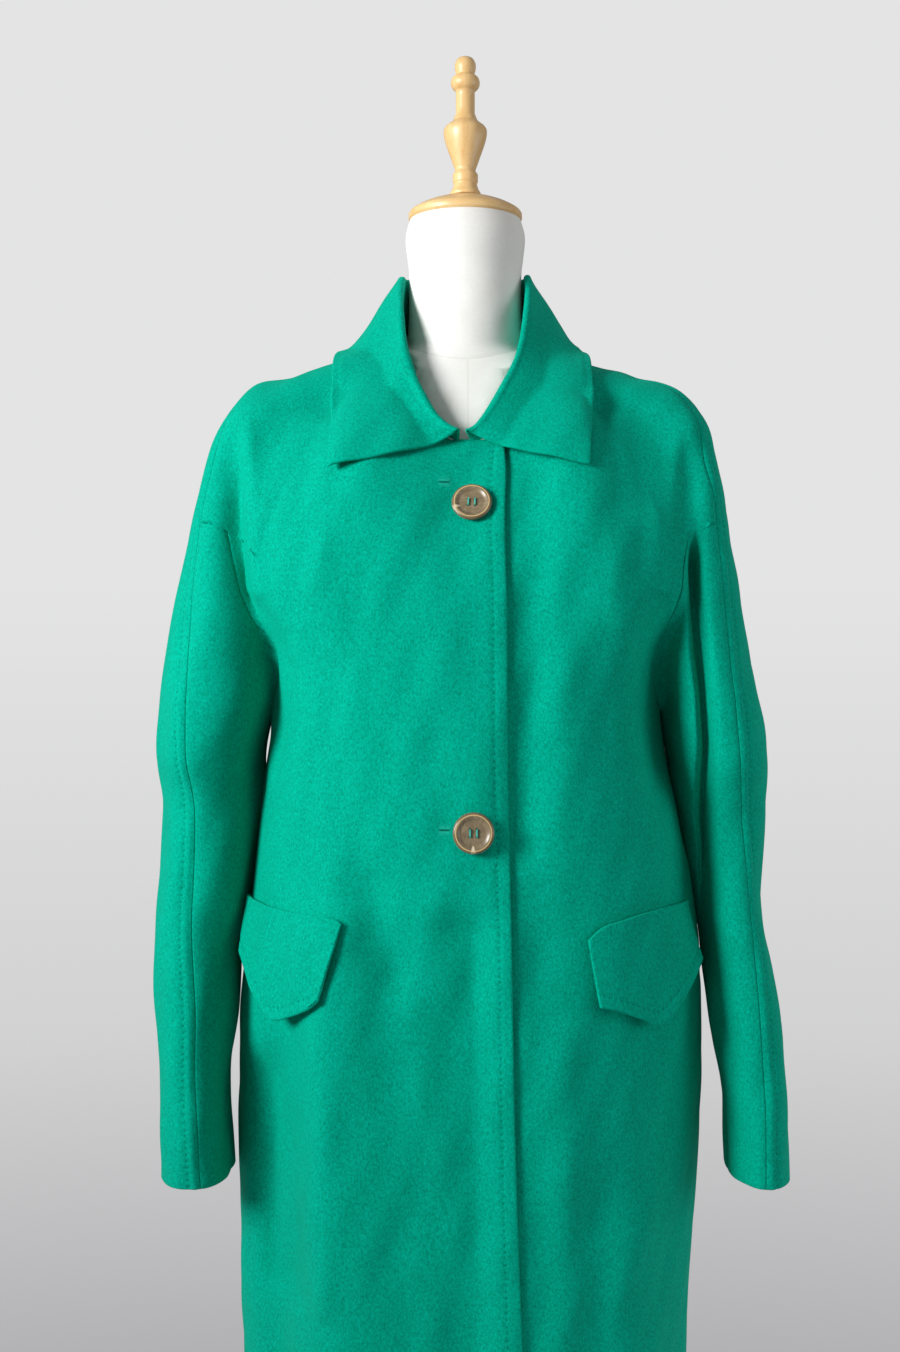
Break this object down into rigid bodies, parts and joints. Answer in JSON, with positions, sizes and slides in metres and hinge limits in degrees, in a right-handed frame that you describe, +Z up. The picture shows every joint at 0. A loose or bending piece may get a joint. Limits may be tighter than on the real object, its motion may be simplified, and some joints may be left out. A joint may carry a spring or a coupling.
{
  "type": "wool coat on a dress form",
  "caption": "Knee-length wool coat with a turned-down collar, dropped shoulders, flapped pockets and large buttons, on a limbless dress form with a turned finial, a pole and a round base.",
  "frame": {"origin": "centre of the base's flat underside, on the floor under the form's axis", "axes": "+Z up along the form's axis, the coat's front faces -Y, +X is towards the wearer's left"},
  "size_m": [0.556, 0.37, 1.683],
  "materials": {
    "front_right": "brushed double-faced wool, matt with a short nap",
    "front_left": "brushed double-faced wool, matt with a short nap",
    "back": "brushed double-faced wool, matt with a short nap",
    "sleeve_front_right": "brushed double-faced wool, matt with a short nap",
    "sleeve_front_left": "brushed double-faced wool, matt with a short nap",
    "sleeve_back_right": "brushed double-faced wool, matt with a short nap",
    "sleeve_back_left": "brushed double-faced wool, matt with a short nap",
    "collar": "brushed double-faced wool, matt with a short nap",
    "pocket_flap_right": "brushed double-faced wool, matt with a short nap",
    "pocket_flap_left": "brushed double-faced wool, matt with a short nap",
    "button_upper": "mottled horn look with a thin pale metallic ring, polished",
    "button_lower": "mottled horn look with a thin pale metallic ring, polished",
    "thread_upper": "sewing thread",
    "thread_lower": "sewing thread",
    "form_body": "off-white woven cover, matt",
    "neck_cap": "pale beech, clear satin varnish",
    "finial": "pale beech, clear satin varnish",
    "pole": "pale beech, clear satin varnish",
    "base": "pale beech, clear satin varnish"
  },
  "bodies": {
    "root": {"front_right": "front_right", "front_left": "front_left", "back": "back", "sleeve_front_right": "sleeve_front_right", "sleeve_front_left": "sleeve_front_left", "sleeve_back_right": "sleeve_back_right", "sleeve_back_left": "sleeve_back_left", "collar": "collar", "pocket_flap_right": "pocket_flap_right", "pocket_flap_left": "pocket_flap_left", "button_upper": "button_upper", "button_lower": "button_lower", "thread_upper": "thread_upper", "thread_lower": "thread_lower", "form_body": "form_body", "neck_cap": "neck_cap", "finial": "finial", "pole": "pole", "base": "base"}
  },
  "joints": []
}
